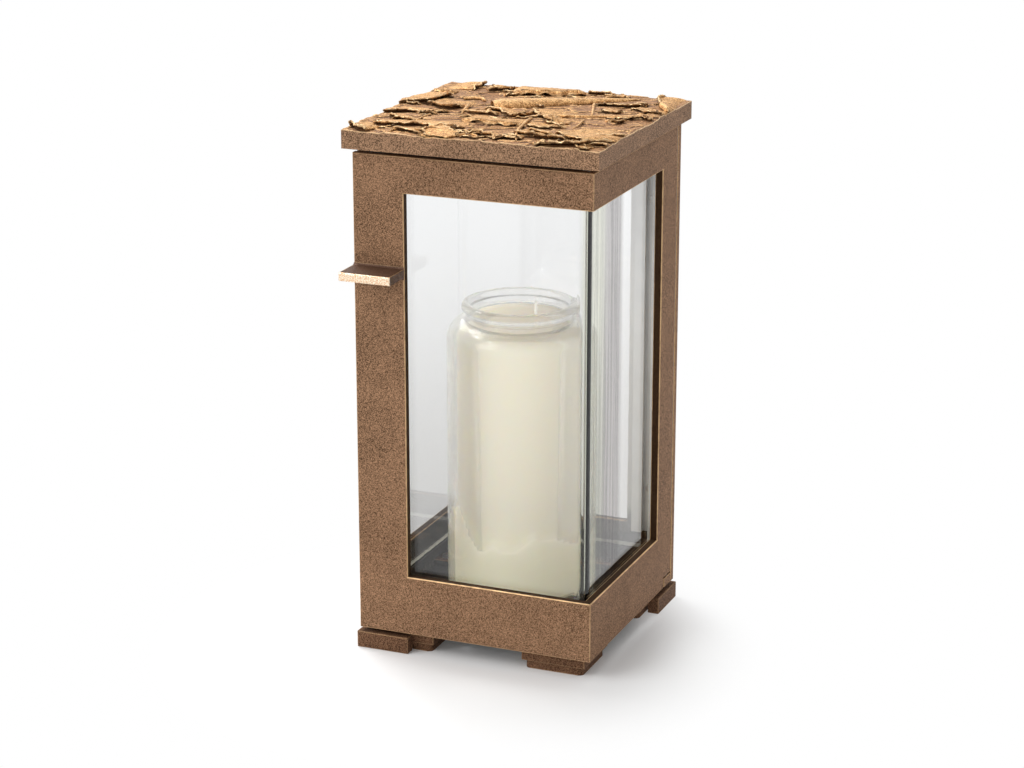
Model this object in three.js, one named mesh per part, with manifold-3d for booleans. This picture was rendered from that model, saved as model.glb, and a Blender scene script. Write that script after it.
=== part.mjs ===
// A bronze grave lantern: a fixed half with base, lid and feet, a corner door that turns on two pins,
// and a candle in a glass jar. Millimetres, +Z up, the origin under the middle of the bounding box.
import * as THREE from 'three';
import { mergeVertices } from 'three/addons/utils/BufferGeometryUtils.js';
import Module from 'manifold-3d';

const wasm = await Module();
wasm.setup();

// Body
const bodySide = 130;
const bodyHeight = 256;
const wall = 4.5;
const postWidth = 28;
const bottomBand = 32;
const topBand = 19;
const catchSeam = 0.6;
const hingeSeam = 1.2;

// Clearances shared by all pieces
const seat = 0.2;
const runningGap = 0.05;
const overrun = 20;

// Feet
const footHeight = 11;
const footSide = 35;
const footSetback = 5;
const footStep = 4.5;
const footInset = 1.5;
const footRound = 3;
const shoeProud = 1.3;
const shoeHeight = 9;

// Base plate
const baseThick = 5;
const jarSeatDepth = 1;
const airHoleRadius = 3;
const airRingInset = 9.5;
const airHoleCount = 8;

// Top frame and lid
const frameThick = 4;
const frameDrop = 0.6;
const ventRim = 14.5;
const ventRound = 8;
const bossRadius = 5;
const lidOverhang = 4;
const lidEdge = 8.8;
const lidGap = 2.4;
const barkHeight = 6.5;

// Glass and what holds it
const glassThick = 3;
const glassGap = 0.3;
const glassRound = 6;
const glassSideLap = 8;
const glassDrop = 14;
const glassRise = 6;
const railDepth = 4;
const railHeight = 4.5;
const stripThick = 1.5;
const stripFoot = 8;
const stripLip = 4;
const stripLap = 4;

// Hinge
const hingeReach = 10.8;
const lugLap = 1.1;
const hingeSetback = 4.8;
const tailClear = 4;
const pinRadius = 1.25;
const pinRise = 8;
const pinHold = 3.5;
const washerRadius = 2.1;
const washerThick = 0.8;
const bracketLap = 12;
const hingeNeck = 6;
const bracketThick = 2.7;

// Ears cast on the back shell for the base plate and the top frame
const earWidth = 12;
const earDepth = 10;
const earThick = 3;

// Handle
const handleReach = 18;
const handleThick = 4.5;
const handleTop = 209;
const handleFillet = 1.5;
const handleRound = 0.8;

// Catch
const blockWide = 9;
const blockDeep = 12;
const blockTall = 14;
const blockLift = 2;
const magnetRadius = 3;
const magnetLength = 6;
const keeperRadius = 3.6;
const keeperThick = 0.8;

// Candle
const jarRadius = 38.6;
const jarHeight = 165;
const jarWall = 4;
const jarFloor = 8;
const jarBaseRound = 5;
const jarShoulder = 12;
const rimRadius = 30.8;
const rimHeight = 5;
const neckRadius = 28.4;
const neckHeight = 3;
const mouthRadius = 26.5;
const waxGap = 1.5;
const waxDepth = 8;
const wickRadius = 0.9;
const wickRise = 9;
const wickOffset = 9;
const holderRadius = 10;
const holderThick = 0.8;
const holderNeck = 5;

// Fasteners: shank radius, head radius and head height; the shank length goes with each place
const smallScrew = { shank: 1.25, head: 2.5, headHeight: 1.6, sides: 8 };
const lidScrew = { shank: 2, head: 3.6, headHeight: 2.4, sides: 10 };
const footScrew = { shank: 2.5, head: 4.4, headHeight: 3, sides: 10 };
const screwBite = 3;
const lidBite = 5;
const footBite = 3.5;

// Number of flat sides on round pieces
const roundSides = 32;
const pinSides = 20;
const arcSteps = 4;
const barkCells = 32;

// Derived levels and distances
const half = bodySide / 2;
const innerHalf = half - wall;
const bodyBottom = footHeight;
const bodyTop = bodyBottom + bodyHeight;
const windowBottom = bodyBottom + bottomBand;
const windowTop = bodyTop - topBand;
const windowEdge = half - postWidth;
const baseTop = bodyBottom + baseThick;
const frameTop = bodyTop - frameDrop;
const frameBottom = frameTop - frameThick;
const lidBottom = bodyTop + lidGap;
const lidTop = lidBottom + lidEdge;
const lidHalf = half + lidOverhang;
const plateEdge = innerHalf - tailClear;
const plateSeam = innerHalf - seat;
const airRingRadius = plateEdge - airRingInset;
const ventSide = 2 * (plateEdge - ventRim);
const glassOuter = innerHalf - glassGap;
const glassInner = glassOuter - glassThick;
const glassEnd = windowEdge + glassSideLap;
const glassBottom = windowBottom - glassDrop;
const glassTop = windowTop + glassRise;
const doorEnd = innerHalf - hingeSeam;
const hingeX = half - wall / 2;
const hingeY = doorEnd - hingeSetback;
const lugStart = plateSeam - hingeReach;
const notchStart = lugStart - lugLap;
const washerFloor = baseTop + seat;
const notchTop = washerFloor + washerThick + seat;

// Materials
function finish(color, roughness, metalness) {
  return new THREE.MeshStandardMaterial({ color, roughness, metalness });
}

const bronze = () => finish(0x7b5a44, 0.5, 0.9);
const barkBronze = () => finish(0xa8804f, 0.4, 0.9);
const brightBronze = () => finish(0xc28a5c, 0.3, 0.9);
const steel = () => finish(0xa9a9a6, 0.35, 1);
const blackened = () => finish(0x2b2623, 0.6, 0.6);
const magnetGrey = () => finish(0x6d6f72, 0.4, 0.9);
const clearGlass = () => finish(0xdfe9e6, 0.05, 0);
const ivoryWax = () => finish(0xe6dfc4, 0.5, 0);
const cotton = () => finish(0xf1ece0, 0.9, 0);

// A closed solid from any geometry: only positions are kept and flat triangles are dropped
function solid(geometry) {
  const bare = geometry.index ? geometry.clone() : geometry;
  bare.deleteAttribute('normal');
  bare.deleteAttribute('uv');
  const merged = mergeVertices(bare);
  const indices = merged.index.array;
  const kept = [];
  for (let i = 0; i < indices.length; i += 3) {
    const [a, b, c] = [indices[i], indices[i + 1], indices[i + 2]];
    if (a !== b && b !== c && c !== a) {
      kept.push(a, b, c);
    }
  }
  return new wasm.Manifold(new wasm.Mesh({
    numProp: 3,
    vertProperties: new Float32Array(merged.attributes.position.array),
    triVerts: new Uint32Array(kept),
  }));
}

function geometryOf(manifold) {
  const mesh = manifold.getMesh();
  const geometry = new THREE.BufferGeometry();
  geometry.setAttribute('position', new THREE.BufferAttribute(new Float32Array(mesh.vertProperties), 3));
  geometry.setIndex(new THREE.BufferAttribute(new Uint32Array(mesh.triVerts), 1));
  geometry.computeVertexNormals();
  return geometry;
}

function block([x0, x1], [y0, y1], [z0, z1]) {
  const box = new THREE.BoxGeometry(x1 - x0, y1 - y0, z1 - z0);
  box.translate((x0 + x1) / 2, (y0 + y1) / 2, (z0 + z1) / 2);
  return solid(box);
}

// An outline of [x, y] points or a Shape, standing on z0 and reaching up to z1
function prismGeometry(outline, z0, z1) {
  const points = Array.isArray(outline) ? outline.map(([x, y]) => new THREE.Vector2(x, y)) : null;
  const shape = points ? new THREE.Shape(points) : outline;
  const prism = new THREE.ExtrudeGeometry(shape, {
    depth: z1 - z0,
    bevelEnabled: false,
    curveSegments: arcSteps,
  });
  prism.translate(0, 0, z0);
  return prism;
}

function prism(outline, z0, z1) {
  return solid(prismGeometry(outline, z0, z1));
}

function cylinder(x, y, z0, z1, radius, sides) {
  const rod = new THREE.CylinderGeometry(radius, radius, z1 - z0, sides);
  rod.rotateX(Math.PI / 2);
  rod.translate(x, y, (z0 + z1) / 2);
  return solid(rod);
}

// A profile of [radius, z] points, turned about the vertical axis
function turned(profile, sides) {
  const lathe = new THREE.LatheGeometry(profile.map(([r, z]) => new THREE.Vector2(r, z)), sides);
  lathe.rotateX(Math.PI / 2);
  return lathe;
}

// Points of an arc about [r, z], from one angle to another in quarter turns
function arc(r, z, radius, from, to) {
  const points = [];
  for (let i = 0; i <= arcSteps; i += 1) {
    const angle = (from + (to - from) * i / arcSteps) * Math.PI / 2;
    points.push([r + radius * Math.cos(angle), z + radius * Math.sin(angle)]);
  }
  return points;
}

function roundedSquare(side, corner) {
  const edge = side / 2;
  const inner = edge - corner;
  const shape = new THREE.Shape();
  shape.moveTo(-inner, -edge);
  shape.lineTo(inner, -edge);
  shape.absarc(inner, -inner, corner, -Math.PI / 2, 0, false);
  shape.lineTo(edge, inner);
  shape.absarc(inner, inner, corner, 0, Math.PI / 2, false);
  shape.lineTo(-inner, edge);
  shape.absarc(-inner, inner, corner, Math.PI / 2, Math.PI, false);
  shape.lineTo(-edge, -inner);
  shape.absarc(-inner, -inner, corner, Math.PI, Math.PI * 1.5, false);
  return shape;
}

function subtractAll(piece, cutters) {
  return cutters.reduce((left, cutter) => left.subtract(cutter), piece);
}

// Turns what is built along +Z so that it points along a direction, and sets it at a place
function pointed(geometry, place) {
  const turn = new THREE.Quaternion().setFromUnitVectors(
    new THREE.Vector3(0, 0, 1),
    new THREE.Vector3(...place.along),
  );
  return geometry.clone().applyQuaternion(turn).translate(...place.at);
}

// A screw with its head behind its place and its shank running along the place's direction
function screwGeometry(kind, length) {
  return turned([
    [0, -kind.headHeight],
    [kind.head, -kind.headHeight],
    [kind.head, 0],
    [kind.shank, 0],
    [kind.shank, length],
    [0, length],
  ], kind.sides);
}

function screwCut(kind, place) {
  const radius = kind.shank + seat;
  const length = place.length + seat;
  const hole = new THREE.CylinderGeometry(radius, radius, length, kind.sides);
  hole.rotateX(Math.PI / 2);
  hole.translate(0, 0, length / 2);
  return solid(pointed(hole, place));
}

function screw(kind, place) {
  return solid(pointed(screwGeometry(kind, place.length), place));
}

const lantern = new THREE.Group();

function add(name, shape, material) {
  const mesh = new THREE.Mesh(geometryOf(shape), material());
  mesh.name = name;
  lantern.add(mesh);
}

// Half a turn about the body's axis carries each door outline onto the fixed half
const doorHalf = ([x, y]) => [x, y];
const fixedHalf = ([x, y]) => [-x, -y];

// Places on the four walls: along is the run along the wall, deep is measured inwards from its inner face
const frontWall = (along, deep) => [along, -innerHalf + deep];
const sideWall = (along, deep) => [innerHalf - deep, -along];
const backWall = (along, deep) => fixedHalf(frontWall(along, deep));
const leftWall = (along, deep) => fixedHalf(sideWall(along, deep));

function inward(wallPlace) {
  const [x0, y0] = wallPlace(0, 0);
  const [x1, y1] = wallPlace(0, 1);
  return [x1 - x0, y1 - y0, 0];
}

function outward(wallPlace) {
  return inward(wallPlace).map((part) => -part);
}

// Strips that hold the glass edges, each with a foot on the post and a lip over the glass
const stripBottom = windowBottom - stripLap;
const stripTop = windowTop + stripLap;
const lipDepth = glassGap + glassThick + seat;
const stripShares = [0.12, 0.88];

function glassStrip(wallPlace) {
  const web = glassEnd + glassGap;
  const foot = web + stripThick + stripFoot;
  const outline = [
    wallPlace(-foot, seat),
    wallPlace(-web, seat),
    wallPlace(-web, lipDepth),
    wallPlace(-glassEnd + stripLip, lipDepth),
    wallPlace(-glassEnd + stripLip, lipDepth + stripThick),
    wallPlace(-web - stripThick, lipDepth + stripThick),
    wallPlace(-web - stripThick, seat + stripThick),
    wallPlace(-foot, seat + stripThick),
  ];
  const cuts = stripScrews(wallPlace).map((place) => screwCut(smallScrew, place));
  return subtractAll(prism(outline, stripBottom, stripTop), cuts);
}

function stripScrews(wallPlace) {
  const along = -(glassEnd + glassGap + stripThick + stripFoot / 2);
  return stripShares.map((share) => ({
    at: [...wallPlace(along, 2 * seat + stripThick), stripBottom + share * (stripTop - stripBottom)],
    along: outward(wallPlace),
    length: stripThick + 2 * seat + screwBite,
  }));
}

// Ledges that the glass stands on
const railTop = glassBottom - seat;
const railBottom = railTop - railHeight;

function glassRail(place) {
  const inside = glassOuter - railDepth;
  return prism([
    [-glassEnd, -glassOuter],
    [glassOuter, -glassOuter],
    [glassOuter, glassEnd],
    [inside, glassEnd],
    [inside, -inside],
    [-glassEnd, -inside],
  ].map(place), railBottom, railTop);
}

function bentGlass(place) {
  const bend = glassOuter - glassRound;
  const innerRound = glassRound - glassThick;
  const corner = arc(bend, -bend, glassRound, -1, 0);
  const innerCorner = arc(bend, -bend, innerRound, 0, -1);
  return prism([
    [-glassEnd, -glassOuter],
    ...corner,
    [glassOuter, glassEnd],
    [glassInner, glassEnd],
    ...innerCorner,
    [-glassEnd, -glassInner],
  ].map(place), glassBottom, glassTop);
}

// Ears: flat tabs on the inside of a wall, each with one screw into the plate that it holds
const earShares = [-0.2, 0.22];
const earPlaces = [leftWall, backWall].flatMap((wallPlace) => earShares.map((share) => [wallPlace, share]));

function ear([wallPlace, share], plateFace, up) {
  const middle = share * bodySide;
  const outline = [
    wallPlace(middle - earWidth / 2, -wall / 2),
    wallPlace(middle + earWidth / 2, -wall / 2),
    wallPlace(middle + earWidth / 2, earDepth),
    wallPlace(middle - earWidth / 2, earDepth),
  ];
  const near = plateFace + up * seat;
  const far = near + up * earThick;
  return prism(outline, Math.min(near, far), Math.max(near, far));
}

function earScrew([wallPlace, share], plateFace, up) {
  return {
    at: [...wallPlace(share * bodySide, earDepth / 2), plateFace + up * (2 * seat + earThick)],
    along: [0, 0, -up],
    length: earThick + 2 * seat + screwBite,
  };
}

const baseScrews = earPlaces.map((place) => earScrew(place, baseTop, 1));
const frameScrews = earPlaces.map((place) => earScrew(place, frameBottom, -1));

// Places of the other fasteners
const glassScrewsDoor = [...stripScrews(frontWall), ...stripScrews(sideWall)];
const glassScrewsFixed = [...stripScrews(leftWall), ...stripScrews(backWall)];

const corners = [[-1, -1], [1, -1], [1, 1], [-1, 1]];
const footMiddle = half - footSetback - footSide / 2;
const footScrews = corners.map(([sx, sy]) => ({
  at: [sx * footMiddle, sy * footMiddle, footStep - seat],
  along: [0, 0, 1],
  length: footHeight - footStep + seat + footBite,
}));

const bossMiddle = (ventSide / 2 + plateEdge) / 2;
const lidScrews = corners.map(([sx, sy]) => ({
  at: [sx * bossMiddle, sy * bossMiddle, frameBottom - seat],
  along: [0, 0, 1],
  length: lidBottom - frameBottom + seat + lidBite,
}));

const handleScrewShares = [0.25, 0.79];
const handleMiddle = handleTop - handleThick / 2;
const handleScrews = handleScrewShares.map((share) => ({
  at: [-half + share * postWidth, -innerHalf - smallScrew.headHeight - seat, handleMiddle],
  along: [0, -1, 0],
  length: wall + handleReach / 2 - smallScrew.headHeight,
}));

const lapShares = [0.3, 0.75];
const lugSeam = plateEdge - hingeNeck;
const bracketStart = lugSeam - bracketLap;
const hingeScrews = lapShares.map((share) => ({
  at: [
    bracketStart + share * bracketLap,
    (lugStart + plateSeam) / 2,
    baseTop + 2 * seat + bracketThick,
  ],
  along: [0, 0, -1],
  length: bracketThick + 2 * seat + screwBite,
}));

const blockFront = -innerHalf + keeperThick + 3 * seat;
const blockBack = blockFront + blockDeep;
const blockBottom = baseTop + blockLift;
const blockMiddle = blockBottom + blockTall / 2;
const magnetX = -innerHalf + seat + blockWide / 2;
const blockScrew = {
  at: [-innerHalf + 2 * seat + blockWide, blockBack - blockDeep / 4, blockMiddle],
  along: [-1, 0, 0],
  length: blockWide + 2 * seat + screwBite,
};

// Fixed half: base plate with air holes, a seat for the jar and a notch for the hinge lug
function basePlate() {
  const cutters = [
    block([lugSeam, half], [notchStart, half], [0, bodyTop]),
    cylinder(0, 0, baseTop - jarSeatDepth, baseTop + overrun, jarRadius + seat, roundSides),
  ];
  for (let i = 0; i < airHoleCount; i += 1) {
    const angle = ((i + 0.5) / airHoleCount) * Math.PI * 2;
    const [x, y] = [airRingRadius * Math.cos(angle), airRingRadius * Math.sin(angle)];
    cutters.push(cylinder(x, y, 0, baseTop + overrun, airHoleRadius, pinSides / 2));
  }
  cutters.push(...[...baseScrews, ...hingeScrews].map((place) => screwCut(smallScrew, place)));
  cutters.push(...footScrews.map((place) => screwCut(footScrew, place)));
  const plate = block([-plateSeam, plateEdge], [-plateSeam, plateSeam], [bodyBottom, baseTop]);
  return subtractAll(plate, cutters);
}

// Fixed half: left and back wall, its window open round the back corner
function backShell() {
  const shell = prism([
    [-half, -innerHalf + catchSeam],
    [-innerHalf, -innerHalf + catchSeam],
    [-innerHalf, innerHalf],
    [half, innerHalf],
    [half, half],
    [-half, half],
  ], bodyBottom, bodyTop);
  const window = block(
    [-half - overrun, windowEdge],
    [-windowEdge, half + overrun],
    [windowBottom, windowTop],
  );
  const ears = earPlaces.flatMap((place) => [ear(place, baseTop, 1), ear(place, frameBottom, -1)]);
  const eared = ears.reduce((joined, tab) => joined.add(tab), shell);
  const screws = [...glassScrewsFixed, ...baseScrews, ...frameScrews, blockScrew];
  return subtractAll(eared, [window, ...screws.map((place) => screwCut(smallScrew, place))]);
}

// Door half: front and right wall, its window open round the near corner, with a notch for the hinge lug
function doorShell() {
  const shell = prism([
    [-half, -half],
    [half, -half],
    [half, doorEnd],
    [innerHalf, doorEnd],
    [innerHalf, -innerHalf],
    [-half, -innerHalf],
  ], bodyBottom, bodyTop);
  const headCuts = handleScrews.map(({ at: [x, , z] }) => {
    const recess = new THREE.CylinderGeometry(
      smallScrew.head + seat,
      smallScrew.head + seat,
      smallScrew.headHeight + seat + overrun,
      smallScrew.sides,
    );
    recess.translate(x, -innerHalf - smallScrew.headHeight - 2 * seat + recess.parameters.height / 2, z);
    return solid(recess);
  });
  return subtractAll(shell, [
    block([-windowEdge, half + overrun], [-half - overrun, windowEdge], [windowBottom, windowTop]),
    block([0, half + overrun], [notchStart, half], [0, notchTop]),
    cylinder(hingeX, hingeY, 0, notchTop + pinRise + seat, pinRadius + runningGap, pinSides),
    cylinder(hingeX, hingeY, bodyTop - pinRise - seat, bodyTop + overrun, pinRadius + runningGap, pinSides),
    ...[...glassScrewsDoor, ...handleScrews].map((place) => screwCut(smallScrew, place)),
    ...headCuts,
  ]);
}

// Feet: a block with a smaller tread, and at three corners a raised shoe round the outside
function foot(sx, sy, shod) {
  const outer = half - footSetback;
  const inner = outer - footSide;
  const body = block([inner, outer], [inner, outer], [footStep, footHeight - seat]);
  const tread = prismGeometry(roundedSquare(footSide - 2 * footInset, footRound), 0, footStep);
  tread.translate(footMiddle, footMiddle, 0);
  let piece = body.add(solid(tread));
  if (shod) {
    const shoeOuter = half + shoeProud;
    piece = piece.add(prism([
      [windowEdge, outer],
      [windowEdge, shoeOuter],
      [shoeOuter, shoeOuter],
      [shoeOuter, windowEdge],
      [outer, windowEdge],
      [outer, outer],
    ], 0, shoeHeight));
  }
  const mirrored = geometryOf(piece).rotateZ(Math.atan2(sy, sx) - Math.PI / 4);
  const recess = cylinder(
    sx * footMiddle,
    sy * footMiddle,
    -overrun,
    footStep,
    footScrew.head + seat,
    footScrew.sides,
  );
  return subtractAll(solid(mirrored), [recess, ...footScrews.map((place) => screwCut(footScrew, place))]);
}

// Top frame under the lid, open in the middle to let warm air out, with four bosses that the lid stands on
function topFrame() {
  const plate = block([-plateSeam, plateEdge], [-plateSeam, plateSeam], [frameBottom, frameTop]);
  const bosses = lidScrews.map(({ at: [x, y] }) => (
    cylinder(x, y, frameBottom, lidBottom - seat, bossRadius, pinSides)
  ));
  return subtractAll(bosses.reduce((joined, boss) => joined.add(boss), plate), [
    prism(roundedSquare(ventSide, ventRound), frameBottom - overrun, frameTop + overrun),
    ...lidScrews.map((place) => screwCut(lidScrew, place)),
    ...frameScrews.map((place) => screwCut(smallScrew, place)),
  ]);
}

// Bark relief: overlapping sheets with torn edges, each a turned ellipse, and rolls that taper.
// A sheet has its centre across and along the lid, half length, half width, turn in degrees, and rise.
const barkSheetShares = [
  [-0.3, 0.33, 0.34, 0.2, 25, 0.3],
  [0.1, 0.4, 0.42, 0.13, 12, 0.42],
  [-0.32, 0.05, 0.26, 0.12, 14, 0.34],
  [0.1, 0.08, 0.3, 0.12, 30, 0.38],
  [0.34, 0.14, 0.2, 0.12, 22, 0.32],
  [-0.12, -0.12, 0.24, 0.08, 12, 0.3],
  [-0.34, -0.32, 0.22, 0.14, -8, 0.32],
  [0.34, -0.22, 0.2, 0.11, 38, 0.5],
  [0.05, -0.4, 0.3, 0.08, 6, 0.2],
  [0.4, -0.44, 0.16, 0.06, 22, 0.26],
];
// A roll has its start across and along, its end across and along, and its height at both ends.
const barkRollShares = [
  [-0.17, 0.14, 0.31, 0.4, 0.65, 0.1],
  [-0.26, 0.45, 0.08, 0.47, 0.45, 0.16],
  [0.14, -0.02, 0.47, 0.11, 0.18, 0.13],
  [0.2, -0.32, 0.4, -0.08, 0.26, 0.08],
  [0.38, 0.47, 0.47, 0.26, 0.2, 0.34],
];
const barkTearShare = 0.16;
const barkTearWaves = [5, 11, 17];
const barkTearShift = 40;
const barkLipShare = 0.12;
const barkFlatShare = 0.55;
const barkCurl = 4;
const barkRimShare = 0.05;
const barkRimFlatShare = 0.25;
const rollWidth = 1.25;

function sheetHeight(u, v, [cu, cv, length, width, degrees, rise]) {
  const turn = THREE.MathUtils.degToRad(degrees);
  const along = ((u - cu) * Math.cos(turn) + (v - cv) * Math.sin(turn)) / length;
  const across = ((v - cv) * Math.cos(turn) - (u - cu) * Math.sin(turn)) / width;
  const bearing = Math.atan2(across, along);
  const waves = barkTearWaves.map((wave, i) => Math.sin(bearing * wave + cu * barkTearShift + i) / (i + 1));
  const tear = barkTearShare * waves.reduce((sum, wave) => sum + wave, 0);
  const inside = 1 + tear - Math.hypot(along, across);
  const lip = THREE.MathUtils.smoothstep(inside, 0, barkLipShare);
  return rise * lip * (barkFlatShare + (1 - barkFlatShare) * Math.exp(-inside * barkCurl));
}

function rollHeight(u, v, [u0, v0, u1, v1, start, end]) {
  const [du, dv] = [u1 - u0, v1 - v0];
  const t = ((u - u0) * du + (v - v0) * dv) / (du ** 2 + dv ** 2);
  const height = start + (end - start) * t;
  const reach = height * rollWidth * barkHeight / (2 * lidHalf);
  const off = Math.abs((u - u0) * dv - (v - v0) * du) / Math.hypot(du, dv) / reach;
  return t < 0 || t > 1 || off > 1 ? 0 : height * Math.sqrt(1 - off ** 2);
}

function barkLevel(u, v) {
  const sheets = barkSheetShares.map((sheet) => sheetHeight(u, v, sheet));
  const rolls = barkRollShares.map((roll) => rollHeight(u, v, roll));
  const edge = Math.min(0.5 - Math.abs(u), 0.5 - Math.abs(v));
  const rim = THREE.MathUtils.smoothstep(edge, 0, barkRimShare);
  const level = Math.min(1, Math.max(...sheets) + Math.max(...rolls));
  return level * (barkRimFlatShare + (1 - barkRimFlatShare) * rim);
}

// Lid: a thick square slab whose upper side is the bark relief
function lid() {
  const slab = new THREE.BoxGeometry(2 * lidHalf, 2 * lidHalf, lidEdge + overrun, barkCells, barkCells, 1);
  const position = slab.attributes.position;
  for (let i = 0; i < position.count; i += 1) {
    if (position.getZ(i) > 0) {
      const level = barkLevel(position.getX(i) / (2 * lidHalf), position.getY(i) / (2 * lidHalf));
      position.setZ(i, position.getZ(i) + level * barkHeight);
    }
  }
  slab.translate(0, 0, lidTop - (lidEdge + overrun) / 2);
  const below = block([-bodySide, bodySide], [-bodySide, bodySide], [0, lidBottom]);
  const pinHole = cylinder(hingeX, hingeY, 0, lidBottom + pinHold + seat, pinRadius + runningGap, pinSides);
  return subtractAll(solid(slab), [below, pinHole, ...lidScrews.map((place) => screwCut(lidScrew, place))]);
}

// Hinge: a bracket whose lug shows in the notch of the door, two pins and two washers on one upright axis
function hingeBracket() {
  const [y0, y1] = [lugStart, plateSeam];
  const flange = block([bracketStart, plateEdge], [y0, y1], [baseTop + seat, baseTop + seat + bracketThick]);
  const neck = block([lugSeam + seat, plateEdge], [y0, y1], [bodyBottom, baseTop + seat + bracketThick]);
  const lug = block([lugSeam + seat, half], [y0, y1], [bodyBottom, baseTop]);
  return subtractAll(flange.add(neck).add(lug), [
    cylinder(hingeX, hingeY, baseTop - pinHold - seat, baseTop + overrun, pinRadius + runningGap, pinSides),
    ...hingeScrews.map((place) => screwCut(smallScrew, place)),
  ]);
}

function hingePin(z0, z1) {
  return cylinder(hingeX, hingeY, z0, z1, pinRadius, pinSides);
}

function washer(z0, thick) {
  const hole = cylinder(hingeX, hingeY, 0, lidTop, pinRadius + runningGap, pinSides);
  return cylinder(hingeX, hingeY, z0, z0 + thick, washerRadius, pinSides).subtract(hole);
}

// Door handle: a ledge across the left post, flared a little where it meets the post
function doorHandle() {
  const root = -half - seat / 2;
  const tip = -half - handleReach;
  const top = handleTop;
  const bottom = handleTop - handleThick;
  const outline = [
    ...arc(root - handleFillet, top + handleFillet, handleFillet, 0, -1),
    ...arc(tip + handleRound, top - handleRound, handleRound, 1, 2),
    ...arc(tip + handleRound, bottom + handleRound, handleRound, 2, 3),
    ...arc(root - handleFillet, bottom - handleFillet, handleFillet, 1, 0),
  ];
  const ledge = prismGeometry(outline, 0, postWidth);
  ledge.applyMatrix4(new THREE.Matrix4().makeBasis(
    new THREE.Vector3(0, 1, 0),
    new THREE.Vector3(0, 0, 1),
    new THREE.Vector3(1, 0, 0),
  ));
  ledge.translate(-half, 0, 0);
  return subtractAll(solid(ledge), handleScrews.map((place) => screwCut(smallScrew, place)));
}

// Catch: a block with a round magnet on the fixed left wall, and a steel disc on the door
function catchBlock() {
  const body = block(
    [-innerHalf + seat, -innerHalf + seat + blockWide],
    [blockFront, blockBack],
    [blockBottom, blockBottom + blockTall],
  );
  const bore = new THREE.CylinderGeometry(
    magnetRadius + runningGap,
    magnetRadius + runningGap,
    magnetLength + runningGap + overrun,
    pinSides,
  );
  bore.translate(magnetX, blockFront + magnetLength + runningGap - bore.parameters.height / 2, blockMiddle);
  return subtractAll(body, [solid(bore), screwCut(smallScrew, blockScrew)]);
}

function magnet() {
  const rod = new THREE.CylinderGeometry(magnetRadius, magnetRadius, magnetLength, pinSides);
  rod.translate(magnetX, blockFront + magnetLength / 2, blockMiddle);
  return solid(rod);
}

function keeper() {
  const disc = new THREE.CylinderGeometry(keeperRadius, keeperRadius, keeperThick, pinSides);
  disc.translate(magnetX, -innerHalf + seat + keeperThick / 2, blockMiddle);
  return solid(disc);
}

// Candle: a glass jar with a rounded shoulder and a beaded rim, wax shrunk from the glass, and a wick
const jarBottom = baseTop - jarSeatDepth + seat;
const jarTop = jarBottom + jarHeight;
const shoulderMiddle = jarRadius - jarShoulder;
const shoulderLevel = jarTop - rimHeight - neckHeight - jarShoulder;
const waxBottom = jarBottom + jarFloor + seat;
const waxTop = jarTop - waxDepth;
const waxRadius = jarRadius - jarWall - waxGap;
const waxNeck = mouthRadius - waxGap;
const waxShoulder = jarShoulder - jarWall - waxGap;

function candleJar() {
  const inner = jarRadius - jarWall;
  const innerShoulder = jarShoulder - jarWall;
  const bead = rimHeight / 2;
  const innerBase = jarBottom + jarFloor;
  const profile = [
    [0, jarBottom],
    ...arc(jarRadius - jarBaseRound, jarBottom + jarBaseRound, jarBaseRound, -1, 0),
    ...arc(shoulderMiddle, shoulderLevel, jarShoulder, 0, 0.88),
    [neckRadius, shoulderLevel + jarShoulder],
    [neckRadius, jarTop - rimHeight],
    ...arc(rimRadius - bead, jarTop - bead, bead, -0.6, 1),
    [mouthRadius + seat, jarTop],
    [mouthRadius, jarTop - seat],
    [mouthRadius, shoulderLevel + innerShoulder],
    ...arc(shoulderMiddle, shoulderLevel, innerShoulder, 0.94, 0),
    ...arc(inner - jarBaseRound / 2, innerBase + jarBaseRound / 2, jarBaseRound / 2, 0, -1),
    [0, innerBase],
  ];
  return solid(turned(profile, roundSides));
}

function candleWax() {
  const wax = turned([
    [0, waxBottom],
    [waxRadius - waxGap, waxBottom],
    [waxRadius, waxBottom + waxGap],
    ...arc(shoulderMiddle, shoulderLevel, waxShoulder, 0, 0.9),
    [waxNeck, shoulderLevel + waxShoulder],
    [waxNeck, waxTop],
    [0, waxTop],
  ], roundSides);
  return subtractAll(solid(wax), [
    cylinder(wickOffset, 0, 0, jarTop, wickRadius + seat, pinSides / 2),
    cylinder(wickOffset, 0, 0, waxBottom + holderThick + seat, holderRadius + seat, pinSides),
    cylinder(wickOffset, 0, 0, waxBottom + holderNeck + seat, 2 * wickRadius + seat, pinSides),
  ]);
}

function wickHolder() {
  const z0 = waxBottom;
  const disc = cylinder(wickOffset, 0, z0, z0 + holderThick, holderRadius, pinSides);
  const neck = cylinder(wickOffset, 0, z0, z0 + holderNeck, 2 * wickRadius, pinSides);
  return disc.add(neck).subtract(cylinder(wickOffset, 0, 0, jarTop, wickRadius + runningGap, pinSides / 2));
}

function candleWick() {
  return cylinder(wickOffset, 0, waxBottom + holderThick, waxTop + wickRise, wickRadius, pinSides / 2);
}

const cornerNames = ['left', 'near', 'right', 'back'];
const wallNames = ['left_front', 'left_back', 'back_right', 'back_left'];
const stripNames = ['lower', 'upper'];

function addScrews(kind, stem, places, names) {
  places.forEach((place, i) => add(`${stem}_${names[i]}`, screw(kind, place), steel));
}

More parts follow.
